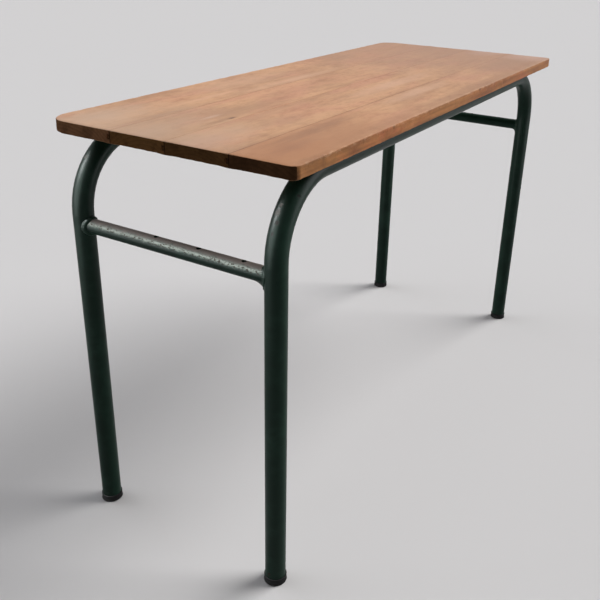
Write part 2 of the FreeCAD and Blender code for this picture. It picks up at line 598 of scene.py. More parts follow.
FACE_LAYERS = (
    Layer("Tone", WOOD.pale, 1.0, (0.36, 0.62)),
    Layer("Blush", WOOD.blush, 0.7, (0.46, 0.66)),
    Layer("Rings", WOOD.ripe, 0.06, blend=Blend.DEEPEN),
    Layer("Smudge", WOOD.ripe, 0.26, (0.5, 0.72), Blend.DEEPEN),
    Layer("Streaks", WOOD.ripe, 0.07, (0.6, 0.3), Blend.DEEPEN),
    Layer("Fibres", WOOD.ripe, 0.07, (0.55, 0.3), Blend.DEEPEN),
    Layer("Mottle", WOOD.ripe, 0.18, (0.46, 0.66), Blend.DEEPEN),
)
EDGE_LAYERS = (
    Layer("Blush", WOOD.red_edge, 1.0, (0.46, 0.58)),
    Layer("Tone", WOOD.ochre_edge, 0.6, (0.44, 0.56)),
    Layer("Streaks", WOOD.dirt, 0.3, (0.65, 0.35)),
    Layer("Smudge", WOOD.dirt, 0.25, (0.46, 0.62)),
    Layer("Ticks", WOOD.dirt, 0.45, (0.60, 0.70)),
)
END_LAYERS = (
    Layer("Rings", WOOD.dirt, 0.3),
    Layer("Smudge", WOOD.dirt, 0.35, (0.45, 0.65)),
    Layer("Mottle", WOOD.dirt, 0.2, (0.46, 0.66)),
)
UNDER_LAYERS = (
    Layer("Rings", WOOD.ripe, 0.4),
    Layer("Streaks", WOOD.ripe, 0.5, (0.6, 0.35)),
    Layer("Smudge", WOOD.dirt, 0.3, (0.5, 0.7)),
)


@dataclass(frozen=True)
class WoodFinish:
    """The worn wood of a board, varnished on its face and long edges and raw on its ends and underside."""

    sizes: DeskSizes
    name: str
    pith: Point
    ring_width: float
    seed: float
    corner: float
    joint_lines: tuple[Pair, ...]
    marks: tuple[Mark, ...]
    # each board's end-grain colour, paler on the rear boards and darker on the front ones: a painted shade
    # gradient across the end face
    end: Colour
    flank_step: Pair = (0.4, 0.8)
    below_step: Pair = (-0.4, -0.8)
    seam_width: float = 0.0013
    end_seam_width: float = 0.0019
    seam_clouds: Clouds = Clouds((9.0, 2.0, 2.0), 3.0, 0.7)
    seam_step: Pair = (0.2, 0.62)
    end_seam_shares: Pair = (0.35, 0.95)
    clean_step: Pair = (-0.1, 0.45)
    clean_share: float = 0.3
    painted_shade_halo_share: float = 0.32
    pit_cells: float = 34.0
    pit_share: float = 0.5
    arris_reach: float = 0.006
    arris_depth: float = 0.008
    arris_clouds: Clouds = Clouds((70.0, 110.0, 200.0), 4.0, 0.7)
    arris_step: Pair = (0.5, 0.62)
    arris_share: float = 0.45
    end_margins: Pair = (0.04, 0.01)
    end_arris_share: float = 0.15
    hand_reach: float = 0.07
    hand_clouds: Clouds = Clouds((22.0, 22.0, 60.0), 3.0, 0.7)
    hand_step: Pair = (0.48, 0.7)
    hand_share: float = 0.16
    varnish_roughness: Pair = (0.42, 0.60)
    raw_roughness: Pair = (0.67, 0.85)
    sheen: float = 0.2
    relief: float = 0.0004
    fibre_relief: float = 0.4
    streak_relief: float = 0.6
    seam_relief: float = 0.8

    def materials(self, effects: Effects) -> tuple[Material, Material]:
        """The varnished wood and the raw wood of the board."""
        varnished = self._varnished(Surface(f"{self.name}_varnished", effects))
        return varnished, self._raw(Surface(f"{self.name}_raw", effects))

    def _varnished(self, surface: Surface) -> Material:
        """Builds the varnished wood of the writing face and the long edges.

        Args:
            surface: The material's empty graph.

        Returns:
            The material.
        """
        grain = self._grain(surface)
        face = self._layered(surface, grain, WOOD.olive, FACE_LAYERS)
        long_edge = self._layered(surface, grain, WOOD.edge, EDGE_LAYERS)
        flank = surface.smooth(surface.size(surface.split(surface.normal)[1]), *self.flank_step)
        colour = surface.mix(flank, face, long_edge)
        for mark in self.marks:
            colour, _ = mark.laid_on(surface, colour)
        colour = self._rubbed(surface, colour)
        clean = surface.smooth(surface.split(surface.position)[0], *self.clean_step)
        packed = surface.cloudy(self.seam_clouds, self.seam_step)
        packed = surface.times(packed, surface.span(clean, 1.0, self.clean_share))
        seams = [self._pits(surface)]
        for joint, (_, strength) in zip(self._joints(surface), self.joint_lines):
            # this strength feeds both the painted shade band beside each joint and the joint's dark line
            dirt_and_shade = surface.times(packed, strength)
            painted_shade_halo = surface.times(joint["Halo"], dirt_and_shade, self.painted_shade_halo_share)
            colour = surface.mix(painted_shade_halo, colour, WOOD.ripe, Blend.DEEPEN)
            seams.append(surface.times(joint["Line"], dirt_and_shade))
        feeds = {"Base Color": colour, "Specular IOR Level": self.sheen}
        return self._close(surface, grain, feeds, surface.largest(seams), self.varnish_roughness)

    def _raw(self, surface: Surface) -> Material:
        """Builds the raw wood of the end grain and the underside.

        Args:
            surface: The material's empty graph.

        Returns:
            The material.
        """
        grain = self._grain(surface)
        # the end colour carries the painted shade gradient across the end face
        cut_end_with_painted_shade = self._layered(surface, grain, self.end, END_LAYERS)
        underside = self._layered(surface, grain, WOOD.under, UNDER_LAYERS)
        below = surface.smooth(surface.split(surface.normal)[2], *self.below_step)
        height = surface.split(surface.position)[2]
        upper = surface.smooth(height, self.sizes.underside_z, self.sizes.board_middle_z)
        steps = surface.largest(joint["Step"] for joint in self._joints(surface))
        steps = surface.times(steps, surface.span(upper, *self.end_seam_shares))
        shade = surface.largest((steps, self._pits(surface)))
        feeds = {"Base Color": surface.mix(below, cut_end_with_painted_shade, underside), "Specular IOR Level": 0.0}
        return self._close(surface, grain, feeds, shade, self.raw_roughness)

    def _grain(self, surface: Surface) -> Sockets:
        """The board's own grain."""
        feeds = {"Pith": self.pith, "Ring Width": self.ring_width, "Seed": self.seed}
        return surface.place(Effect.GRAIN, feeds)

    @staticmethod
    def _layered(surface: Surface, grain: Sockets, base: Colour, layers: Iterable[Layer]) -> Socket:
        """A colour with layers laid on it in turn."""
        return reduce(lambda colour, layer: layer.laid_on(surface, grain, colour), layers, base)

    def _close(
        self, surface: Surface, grain: Sockets, feeds: Feeds, shade: Socket, roughness: Pair
    ) -> Material:
        """Darkens the seams and ends a material of the board.

        Args:
            surface: The material's graph.
            grain: The board's grain.
            feeds: The shader's inputs so far, the colour among them.
            shade: Where seams and pits are.
            roughness: The roughness of the darkest and the palest tone.

        Returns:
            The material.
        """
        fibres = surface.times(grain["Fibres"], self.fibre_relief)
        height = surface.plus(fibres, surface.times(grain["Streaks"], self.streak_relief))
        height = surface.minus(height, surface.times(shade, self.seam_relief))
        feeds["Base Color"] = surface.mix(shade, feeds["Base Color"], WOOD.dirt)
        feeds["Roughness"] = surface.span(grain["Tone"], *roughness)
        return surface.close(feeds, height, self.relief)

    def _rubbed(self, surface: Surface, colour: Socket) -> Socket:
        """Rubs the top edges pale and lets them darken a little further in, where hands rest.

        Args:
            surface: The material's graph.
            colour: The colour before the wear.

        Returns:
            The worn colour.
        """
        sizes = self.sizes
        feeds = {"Half Size": (sizes.half_length, sizes.half_width, 0.0), "Corner": self.corner}
        inset = surface.place(Effect.RIM, feeds)["Inset"]
        along, _, z = surface.split(surface.position)
        ends = (sizes.half_length - margin for margin in self.end_margins)
        long_side = surface.span(surface.smooth(surface.size(along), *ends), 1.0, self.end_arris_share)
        upper = surface.smooth(surface.minus(sizes.top_z, z), self.arris_depth, 0.0)
        arris = surface.times(surface.smooth(inset, self.arris_reach, 0.0), upper, long_side)
        flecks = surface.cloudy(self.arris_clouds, self.arris_step)
        patches = surface.cloudy(self.hand_clouds, self.hand_step)
        hands = surface.times(surface.smooth(inset, self.hand_reach, 0.0), patches, self.hand_share)
        colour = surface.mix(hands, colour, WOOD.ripe, Blend.DEEPEN)
        return surface.mix(surface.times(arris, flecks, self.arris_share), colour, WOOD.bare)

    def _joints(self, surface: Surface) -> list[Sockets]:
        """Places the joint's group once for each joint of the board.

        Args:
            surface: The material's graph.

        Returns:
            The outputs of each joint's group.
        """
        feeds = {
            "Tongue": self.sizes.tongue,
            "Middle": self.sizes.board_middle_z,
            "Width": self.seam_width,
            "End Width": self.end_seam_width,
        }
        return [surface.place(Effect.JOINT, {**feeds, "Joint": place}) for place, _ in self.joint_lines]

    def _pits(self, surface: Surface) -> Socket:
        """Small dark pits, from 0 to 1."""
        return surface.times(surface.patches(0.0, self.pit_cells), self.pit_share)


@dataclass(frozen=True)
class RubbedCrown:
    """Paint rubbed to a worn band where it faces up, down to bare and pitted steel along the crown. The
    band's colour is raised as a painted highlight, and the bare crown's colour, laid by facing up, is partly
    a painted reflection.
    """

    # rubbed band: worn paint, its colour raised as a painted highlight
    thin_paint_and_painted_highlight: Colour = srgb(102, 107, 101)
    # bare crown: rubbed steel, partly a painted reflection
    worn: Colour = srgb(126, 119, 114)
    pits: Colour = srgb(50, 42, 36)
    rag_clouds: Clouds = Clouds((160.0, 90.0, 160.0), 6.0, 0.8)
    ragged: float = 0.9
    thin_step: Pair = (0.15, 0.6)
    bare_step: Pair = (0.70, 0.90)
    pit_clouds: Clouds = Clouds((380.0, 240.0, 380.0), 3.0, 0.65)
    pit_step: Pair = (0.55, 0.61)
    band_begins: Pair = (0.1, 0.4)
    band_ends: Pair = (0.85, 0.6)
    metal_share: float = 0.35

    def laid_on(self, surface: Surface, colour: Socket) -> tuple[Socket, Socket, Socket]:
        """Rubs a paint.

        Args:
            surface: The material's graph.
            colour: The colour of the whole paint.

        Returns:
            The rubbed colour, where the paint is gone, and how metallic the surface is.
        """
        up = surface.split(surface.normal)[2]
        rag = surface.minus(surface.clouds(surface.position, self.rag_clouds), 0.5)
        height = surface.plus(up, surface.times(rag, self.ragged))
        thin_paint_and_painted_highlight = surface.smooth(height, *self.thin_step)
        bare = surface.smooth(height, *self.bare_step)
        band = surface.times(surface.smooth(up, *self.band_begins), surface.smooth(up, *self.band_ends))
        pitted = surface.times(surface.cloudy(self.pit_clouds, self.pit_step), band)
        # what faces up gets lighter: wear, with painted highlight on the band and painted reflection on the
        # crown
        colour = surface.mix(bare, surface.mix(thin_paint_and_painted_highlight, colour, self.thin_paint_and_painted_highlight), self.worn)
        colour = surface.mix(pitted, colour, self.pits)
        return colour, surface.largest((bare, pitted)), surface.times(thin_paint_and_painted_highlight, self.metal_share)


@dataclass(frozen=True)
class PaintFinish:
    """Old gloss paint on steel, chipped and in places rubbed."""

    name: str
    chips: float
    crown: RubbedCrown | None = None
    marks: tuple[Mark, ...] = ()
    fresh: Colour = srgb(19, 44, 34)
    faded: Colour = srgb(31, 59, 47)
    rust: Colour = srgb(50, 42, 36)
    tone_clouds: Clouds = Clouds((14.0, 14.0, 14.0), 4.0, 0.6)
    tone_step: Pair = (0.42, 0.72)
    grit_clouds: Clouds = Clouds((420.0, 420.0, 420.0), 2.0, 0.5)
    chip_cells: float = 70.0
    scuffs: float = 0.16
    scuff_height: float = 0.10
    roughness: Pair = (0.32, 0.44)
    lost_roughness: float = 0.2
    sheen: float = 0.10
    relief: float = 0.00025
    grit_relief: float = 0.25
    lost_relief: float = 0.7

    def material(self, effects: Effects) -> Material:
        """Builds the paint's material.

        Args:
            effects: The shared shader groups.

        Returns:
            The material.
        """
        surface = Surface(self.name, effects)
        tone = surface.clouds(surface.position, self.tone_clouds)
        colour = surface.mix(surface.smooth(tone, *self.tone_step), self.fresh, self.faded)
        feeds = {"Specular IOR Level": self.sheen}
        lost = []
        if self.crown:
            colour, bare, feeds["Metallic"] = self.crown.laid_on(surface, colour)
            lost.append(bare)
        low = surface.smooth(surface.split(surface.position)[2], self.scuff_height, 0.0)
        share = surface.plus(self.chips, surface.times(low, self.scuffs))
        lost.append(surface.patches(share, self.chip_cells))
        colour = surface.mix(lost[-1], colour, self.rust)
        for mark in self.marks:
            colour, spot = mark.laid_on(surface, colour)
            lost.append(spot)
        gone = surface.largest(lost)
        rougher = surface.times(gone, self.lost_roughness)
        feeds["Base Color"] = colour
        feeds["Roughness"] = surface.plus(surface.span(tone, *self.roughness), rougher)
        grit = surface.times(surface.clouds(surface.position, self.grit_clouds), self.grit_relief)
        height = surface.minus(grit, surface.times(gone, self.lost_relief))
        return surface.close(feeds, height, self.relief)


@dataclass(frozen=True)
class RubberFinish:
    """Black rubber, scuffed and dusty towards the floor."""

    name: str = "scuffed_rubber"
    black: Colour = srgb(10, 10, 11)
    scuffed: Colour = srgb(26, 25, 25)
    dust: Colour = srgb(58, 55, 52)
    scuffs: float = 0.35
    scuff_cells: float = 130.0
    scuff_share: float = 0.5
    dust_height: float = 0.006
    dust_shares: Pair = (0.1, 0.6)
    grit_clouds: Clouds = Clouds((700.0, 700.0, 700.0), 2.0)
    roughness: Pair = (0.5, 0.75)
    sheen: float = 0.15
    relief: float = 0.0002
    scuff_relief: float = 0.6

    def material(self, effects: Effects) -> Material:
        """Builds the rubber's material.

        Args:
            effects: The shared shader groups.

        Returns:
            The material.
        """
        surface = Surface(self.name, effects)
        scuffs = surface.patches(self.scuffs, self.scuff_cells)
        grit = surface.clouds(surface.position, self.grit_clouds)
        low = surface.smooth(surface.split(surface.position)[2], self.dust_height, 0.0)
        colour = surface.mix(surface.times(scuffs, self.scuff_share), self.black, self.scuffed)
        dusty = surface.times(low, surface.span(grit, *self.dust_shares))
        feeds = {
            "Base Color": surface.mix(dusty, colour, self.dust),
            "Roughness": surface.span(grit, *self.roughness),
            "Specular IOR Level": self.sheen,
        }
        height = surface.minus(grit, surface.times(scuffs, self.scuff_relief))
        return surface.close(feeds, height, self.relief)


@dataclass(frozen=True)
class SteelFinish:
    """Dull zinc on screws, with brown spots."""

    name: str = "dull_zinc"
    zinc: Colour = srgb(150, 146, 140)
    brown: Colour = srgb(92, 70, 54)
    spots: float = 0.45
    spot_cells: float = 260.0
    spot_dulling: float = 0.7
    brushed_clouds: Clouds = Clouds((1500.0, 1500.0, 300.0), 2.0)
    roughness: Pair = (0.28, 0.5)
    spot_roughness: float = 0.25
    relief: float = 0.0001

    def material(self, effects: Effects) -> Material:
        """Builds the steel's material.

        Args:
            effects: The shared shader groups.

        Returns:
            The material.
        """
        surface = Surface(self.name, effects)
        spots = surface.patches(self.spots, self.spot_cells)
        brushed = surface.clouds(surface.position, self.brushed_clouds)
        rougher = surface.times(spots, self.spot_roughness)
        feeds = {
            "Base Color": surface.mix(spots, self.zinc, self.brown),
            "Roughness": surface.plus(surface.span(brushed, *self.roughness), rougher),
            "Metallic": surface.minus(1.0, surface.times(spots, self.spot_dulling)),
        }
        return surface.close(feeds, brushed, self.relief)


def select_only(*objects: Piece) -> None:
    """Selects objects alone and makes the first one active.

    Args:
        *objects: The objects.
    """
    bpy.ops.object.select_all(action="DESELECT")
    for one in objects:
        one.select_set(True)
    bpy.context.view_layer.objects.active = objects[0]


def edit(obj: Piece) -> None:
    """Opens an object alone in edit mode, picking by vertex.

    Args:
        obj: The object in object mode.
    """
    select_only(obj)
    bpy.ops.object.mode_set(mode="EDIT")
    bpy.ops.mesh.select_mode(type="VERT")


def leave_edit() -> None:
    """Goes back to object mode."""
    bpy.ops.object.mode_set(mode="OBJECT")


def pick_facing(obj: Piece, way: Vector) -> None:
    """Selects the faces that look one way, and goes on in edit mode.

    Args:
        obj: The object in edit mode.
        way: The way, as a vector of length 1.
    """
    bpy.ops.mesh.select_mode(type="FACE")
    bpy.ops.mesh.select_all(action="DESELECT")
    leave_edit()
    for face in obj.data.polygons:
        face.select = face.normal.dot(way) > FACING
    bpy.ops.object.mode_set(mode="EDIT")


def pick_vertices(obj: Piece, numbers: Iterable[int]) -> None:
    """Selects vertices, and goes on in edit mode.

    Args:
        obj: The object in edit mode.
        numbers: The vertices' numbers.
    """
    bpy.ops.mesh.select_mode(type="VERT")
    bpy.ops.mesh.select_all(action="DESELECT")
    leave_edit()
    for number in numbers:
        obj.data.vertices[number].select = True
    bpy.ops.object.mode_set(mode="EDIT")


def close_mesh(obj: Piece, angle: float) -> None:
    """Merges doubles, turns faces outwards and smooths the shading.

    Args:
        obj: The object in object mode.
        angle: The sharpest fold, in degrees, that still looks smooth.
    """
    edit(obj)
    bpy.ops.mesh.select_all(action="SELECT")
    bpy.ops.mesh.remove_doubles(threshold=SAME_PLACE)
    bpy.ops.mesh.normals_make_consistent(inside=False)
    leave_edit()
    bpy.ops.object.shade_smooth_by_angle(angle=math.radians(angle))


def apply_modifier(obj: Piece, name: str) -> None:
    """Applies one modifier of an object."""
    select_only(obj)
    bpy.ops.object.modifier_apply(modifier=name)


def settle(obj: Piece) -> None:
    """Puts an object's place, turn and scale into its mesh."""
    select_only(obj)
    bpy.ops.object.transform_apply(location=True, rotation=True, scale=True)


def add_disc(sides: int, radius: float, depth: float, middle: Point, turn: Point = ORIGIN) -> Piece:
    """Adds a disc and opens it in edit mode.

    Args:
        sides: How many sides its rim has.
        radius: Its radius.
        depth: How thick it is.
        middle: Where its middle lies.
        turn: How it is turned about X, Y and Z.

    Returns:
        The disc.
    """
    bpy.ops.object.select_all(action="DESELECT")
    sizes = {"vertices": sides, "radius": radius, "depth": depth}
    bpy.ops.mesh.primitive_cylinder_add(**sizes, location=middle, rotation=turn)
    disc = bpy.context.active_object
    settle(disc)
    edit(disc)
    return disc


def draw_out(axis: Vector, middle: Vector, start: Pair, rings: Iterable[Pair]) -> None:
    """Extrudes the selected end of a round piece through a row of rings.

    Args:
        axis: The way that the end is drawn, as a vector of length 1.
        middle: The point that heights along the axis are counted from.
        start: The radius and the height of the end.
        rings: The radius and the height of each ring after it.
    """
    radius, height = start
    for next_radius, next_height in rings:
        step = tuple(axis * (next_height - height))
        bpy.ops.mesh.extrude_region_move(TRANSFORM_OT_translate={"value": step})
        scale = next_radius / radius
        widths = tuple(scale + (1 - scale) * part for part in axis)
        bpy.ops.transform.resize(value=widths, center_override=tuple(middle + axis * next_height))
        radius, height = next_radius, next_height


def copy_piece(obj: Piece, name: str, move: Matrix) -> Piece:
    """Copies a finished piece with its own mesh, moved into place.

    Args:
        obj: The piece.
        name: The copy's name.
        move: How the copy's mesh is moved.

    Returns:
        The copy.
    """
    mesh = obj.data.copy()
    mesh.transform(move)
    copy = bpy.data.objects.new(name, mesh)
    bpy.context.scene.collection.objects.link(copy)
    return copy


def hand_over(piece: Piece, materials: Iterable[Material], node: str) -> None:
    """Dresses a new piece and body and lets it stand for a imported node.

    Args:
        piece: The finished piece.
        materials: Its finishes.
        node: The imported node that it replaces.
    """
    piece.data.materials.clear()
    for material in materials:
        piece.data.materials.append(material)
    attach(piece, BODY)
    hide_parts(node)
    log.info("%s: %d faces, for %s", piece.name, len(piece.data.polygons), node)


def dress_node(node: str, material: Material) -> None:
    """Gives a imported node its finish.

    Args:
        node: The node's name.
        material: Its finish.
    """
    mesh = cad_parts[node].data
    mesh.materials.clear()
    mesh.materials.append(material)
    log.info("%s: dressed as %s", node, material.name)


@dataclass
class BoardTop:
    """The four boards of the top, cut up finely enough for their rims to be worn."""

    sizes: DeskSizes
    effects: Effects
    front_corner: float = 0.014
    rear_corner: float = 0.042
    row_step: float = 0.006
    sliver: float = 0.0001
    flat_angle: float = 0.5
    smooth_angle: float = 40.0
    rim_reach: float = 0.006
    joint_reach: float = 0.016
    under_rim_factor: float = 3.0
    dent_depth: float = 0.0011
    dent_size: float = 0.013
    sway_depth: float = 0.0004
    sway_size: float = 0.16
    wear_contrast: float = 1.6
    wear_level: float = 1.1
    varnished_rim: float = 0.0012
    end_facing: float = 0.6
    under_facing: float = 0.7
    stain_depth: float = 0.004
    knock: Colour = srgb(54, 36, 26)

    def build(self) -> None:
        """Builds, wears and dresses every board."""
        for node, finish in zip(BOARD_NODES, self._finishes()):
            board = self._copy(node)
            self._cut_rows(board)
            self._weigh_rim(board)
            self._wear(board, "sway", self.sway_size, self.sway_depth)
            self._wear(board, "dents", self.dent_size, self.dent_depth)
            self._smooth(board)
            hand_over(board, finish.materials(self.effects), node)
            self._leave_raw(board)

    def _finishes(self) -> list[WoodFinish]:
        """Chooses the wood of each board.

        Returns:
            The finishes, from the front to the rear.
        """
        first, second, third = self.sizes.joints
        # the end colours darken from the rear board to the front one: painted shade across the end face
        return [
            WoodFinish(
                self.sizes,
                "front_board",
                pith=(0.0, -0.170, 0.640),
                ring_width=0.0065,
                seed=3.1,
                corner=self.front_corner,
                joint_lines=((first, 0.55),),
                marks=self._painted_sheen_and_shade() + self._front_marks(),
                end=srgb(84, 58, 39),
            ),
            WoodFinish(
                self.sizes,
                "front_middle_board",
                pith=(0.0, -0.050, 0.610),
                ring_width=0.0055,
                seed=7.7,
                corner=self.front_corner,
                joint_lines=((first, 0.55), (second, 0.18)),
                marks=self._painted_sheen_and_shade() + (
                    self._stain(0.00, -0.075, 0.24, 0.035, srgb(214, 172, 146), 0.55),
                    # greyish patch at the left end: painted sheen
                    self._stain(-0.55, -0.060, 0.14, 0.060, srgb(196, 164, 142), 0.5),
                    self._stain(-0.38, -0.030, 0.14, 0.025, srgb(186, 144, 112), 0.5),
                    self._stain(-0.39, -0.085, 0.08, 0.050, srgb(176, 136, 108), 0.45),
                    # greyish patch at the right end: painted sheen
                    self._stain(0.59, -0.070, 0.10, 0.070, srgb(190, 156, 140), 0.6),
                ),
                end=srgb(97, 69, 42),
            ),
            WoodFinish(
                self.sizes,
                "rear_middle_board",
                pith=(0.0, 0.030, 0.655),
                ring_width=0.0070,
                seed=12.4,
                corner=self.rear_corner,
                joint_lines=((second, 0.18), (third, 0.22)),
                marks=self._painted_sheen_and_shade() + (
                    self._stain(-0.36, 0.020, 0.13, 0.045, srgb(180, 139, 108), 0.6),
                    # greyish patch at the left end: painted sheen
                    self._stain(-0.56, 0.040, 0.12, 0.060, srgb(194, 162, 138), 0.5),
                    self._stain(-0.41, 0.030, 0.06, 0.060, srgb(174, 134, 106), 0.45),
                    self._stain(-0.440, 0.029, 0.035, 0.008, srgb(214, 184, 162), 0.5),
                    self._stain(-0.455, 0.000, 0.060, 0.010, srgb(148, 108, 82), 0.5),
                    self._stain(-0.426, -0.002, 0.012, 0.005, srgb(70, 48, 36), 0.8),
                ),
                end=srgb(115, 82, 50),
            ),
            WoodFinish(
                self.sizes,
                "rear_board",
                pith=(0.0, 0.190, 0.600),
                ring_width=0.0060,
                seed=18.9,
                corner=self.rear_corner,
                joint_lines=((third, 0.22),),
                marks=self._painted_sheen_and_shade() + (
                    self._stain(-0.31, 0.131, 0.13, 0.012, srgb(222, 176, 142), 0.6),
                    self._stain(-0.08, 0.110, 0.26, 0.022, srgb(222, 178, 146), 0.6),
                    self._stain(-0.16, 0.180, 0.22, 0.070, srgb(216, 172, 142), 0.45),
                    # greyish patch at the left end: painted sheen
                    self._stain(-0.54, 0.170, 0.14, 0.080, srgb(202, 172, 150), 0.55),
                    self._stain(-0.48, 0.103, 0.13, 0.010, srgb(176, 138, 112), 0.55),
                ),
                end=srgb(136, 98, 70),
            ),
        ]

    def _stain(
        self, x: float, y: float, reach_x: float, reach_y: float, tint: Colour, strength: float
    ) -> Mark:
        """A soft stain on the writing face, or a soft patch of painted sheen or shade there."""
        return Mark((x, y, self.sizes.top_z), (reach_x, reach_y, self.stain_depth), tint, strength, core=0.0)

    def _knock(self, x: float, drop: float, reach: Point, strength: float, inset: float = 0.0) -> Mark:
        """A dark knock on the front edge, below the face and inside the edge by the lengths given."""
        centre = (x, inset - self.sizes.half_width, self.sizes.top_z - drop)
        return Mark(centre, reach, self.knock, strength, core=0.0)

    def _painted_sheen_and_shade(self) -> tuple[Mark, ...]:
        """The marks that all boards share: a painted sheen that greys the left end, and painted shade that
        darkens towards the right end.
        """
        return (
            self._stain(-0.62, 0.06, 0.30, 0.30, srgb(188, 160, 136), 0.6),
            self._stain(0.56, 0.00, 0.60, 0.80, srgb(172, 134, 112), 0.75),
        )

    def _front_marks(self) -> tuple[Mark, ...]:
        """The stains of the front board, with a patch of painted sheen at its right end, and the dark knocks
        along its front edge.
        """
        return (
            self._stain(-0.54, -0.195, 0.42, 0.16, srgb(182, 130, 94), 1.0),
            self._stain(-0.41, -0.150, 0.17, 0.026, srgb(146, 104, 80), 0.6),
            self._stain(-0.52, -0.178, 0.08, 0.024, srgb(156, 110, 84), 0.5),
            self._stain(0.46, -0.190, 0.30, 0.090, srgb(168, 130, 106), 0.6),
            self._knock(-0.560, 0.010, (0.100, 0.020, 0.040), 0.25),
            self._knock(-0.595, 0.014, (0.011, 0.011, 0.014), 0.75, inset=0.003),
            self._stain(-0.04, -0.150, 0.20, 0.028, srgb(214, 172, 144), 0.6),
            self._stain(0.03, -0.224, 0.60, 0.032, srgb(164, 122, 95), 0.65),
            # greyish patch at the right end: painted sheen
            self._stain(0.59, -0.190, 0.12, 0.100, srgb(198, 162, 146), 0.7),
            self._knock(-0.311, 0.003, (0.007, 0.003, 0.005), 0.7),
            self._knock(0.082, 0.002, (0.010, 0.003, 0.005), 0.7),
            self._knock(-0.530, 0.010, (0.012, 0.006, 0.016), 0.35),
            self._knock(-0.440, 0.014, (0.030, 0.006, 0.010), 0.3),
            self._knock(-0.200, 0.016, (0.060, 0.006, 0.008), 0.3),
        )

    def _copy(self, node: str) -> Piece:
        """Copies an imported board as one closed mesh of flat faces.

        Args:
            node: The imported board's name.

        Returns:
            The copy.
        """
        board = copy_piece(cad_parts[node], f"{node}_worn", Matrix())
        select_only(board)
        bpy.ops.mesh.customdata_custom_splitnormals_clear()
        edit(board)
        bpy.ops.mesh.select_all(action="SELECT")
        bpy.ops.mesh.remove_doubles(threshold=SAME_PLACE)
        bpy.ops.mesh.dissolve_limited(angle_limit=math.radians(self.flat_angle))
        leave_edit()
        return board

    def _cut_rows(self, board: Piece) -> None:
        """Cuts a board into rows along and across its length.

        Args:
            board: The board.
        """
        low, high = Vector(board.bound_box[0]), Vector(board.bound_box[6])
        edit(board)
        for axis, normal in enumerate((ALONG_X, ALONG_Y)):
            count = round((high[axis] - low[axis]) / self.row_step)
            for step in range(1, count):
                place = normal * (low[axis] + (high[axis] - low[axis]) * step / count)
                bpy.ops.mesh.select_all(action="SELECT")
                bpy.ops.mesh.bisect(plane_co=place, plane_no=normal)
        bpy.ops.mesh.select_all(action="SELECT")
        bpy.ops.mesh.remove_doubles(threshold=self.sliver)
        bpy.ops.mesh.dissolve_degenerate(threshold=self.sliver)
        bpy.ops.mesh.normals_make_consistent(inside=False)
        leave_edit()

    def _weigh_rim(self, board: Piece) -> None:
        """Weighs a board's vertices by how near they are to the outer edges of the top.

        Args:
            board: The board.
        """
        group = board.vertex_groups.new(name="rim")
        sizes = self.sizes
        for vertex in board.data.vertices:
            x, y, z = vertex.co
            corner = self.front_corner if y < 0 else self.rear_corner
            past_x = abs(x) - sizes.half_length + corner
            past_y = abs(y) - sizes.half_width + corner
            outer = math.hypot(max(past_x, 0.0), max(past_y, 0.0))
            inset = corner - outer - min(max(past_x, past_y), 0.0)
            from_face = min(sizes.top_z - z, (z - sizes.underside_z) * self.under_rim_factor)
            near = max(0.0, 1.0 - inset / self.rim_reach) * max(0.0, 1.0 - from_face / (2 * self.rim_reach))
            from_joint = min(abs(y - joint) for joint in sizes.joints)
            group.add([vertex.index], near * min(1.0, from_joint / self.joint_reach) ** 2, "REPLACE")

    def _wear(self, board: Piece, name: str, size: float, depth: float) -> None:
        """Presses a cloudy pattern into a board's rim.

        Args:
            board: The board, with its rim weighed.
            name: The pattern's name.
            size: How long its hollows are.
            depth: How deep its hollows are.
        """
        clouds = bpy.data.textures.get(name) or bpy.data.textures.new(name, "CLOUDS")
        clouds.noise_scale = size
        clouds.contrast = self.wear_contrast
        press = board.modifiers.new(name, "DISPLACE")
        press.texture = clouds
        press.texture_coords = "LOCAL"
        press.direction = "NORMAL"
        press.mid_level = self.wear_level
        press.strength = depth
        press.vertex_group = "rim"
        apply_modifier(board, name)

    def _smooth(self, board: Piece) -> None:
        """Smooths a board's rounded edges and keeps its broad faces flat.

        Args:
            board: The board.
        """
        select_only(board)
        bpy.ops.object.shade_smooth_by_angle(angle=math.radians(self.smooth_angle))
        even = board.modifiers.new("even", "WEIGHTED_NORMAL")
        even.keep_sharp = True
        apply_modifier(board, "even")

    def _leave_raw(self, board: Piece) -> None:
        """Leaves a board's ends and underside without varnish.

        Args:
            board: The board with its two finishes.
        """
        below_rim = self.sizes.top_z - self.varnished_rim
        for face in board.data.polygons:
            end_grain = abs(face.normal.x) > self.end_facing and face.center.z < below_rim
            if end_grain or face.normal.z < -self.under_facing:
                face.material_index = 1


@dataclass(frozen=True)
class BeadShape:
    """How far a weld bead reaches out from the stretcher and along it, all round and below."""

    out: float
    along: float
    low_out: float
    low_along: float
    hollow: bool


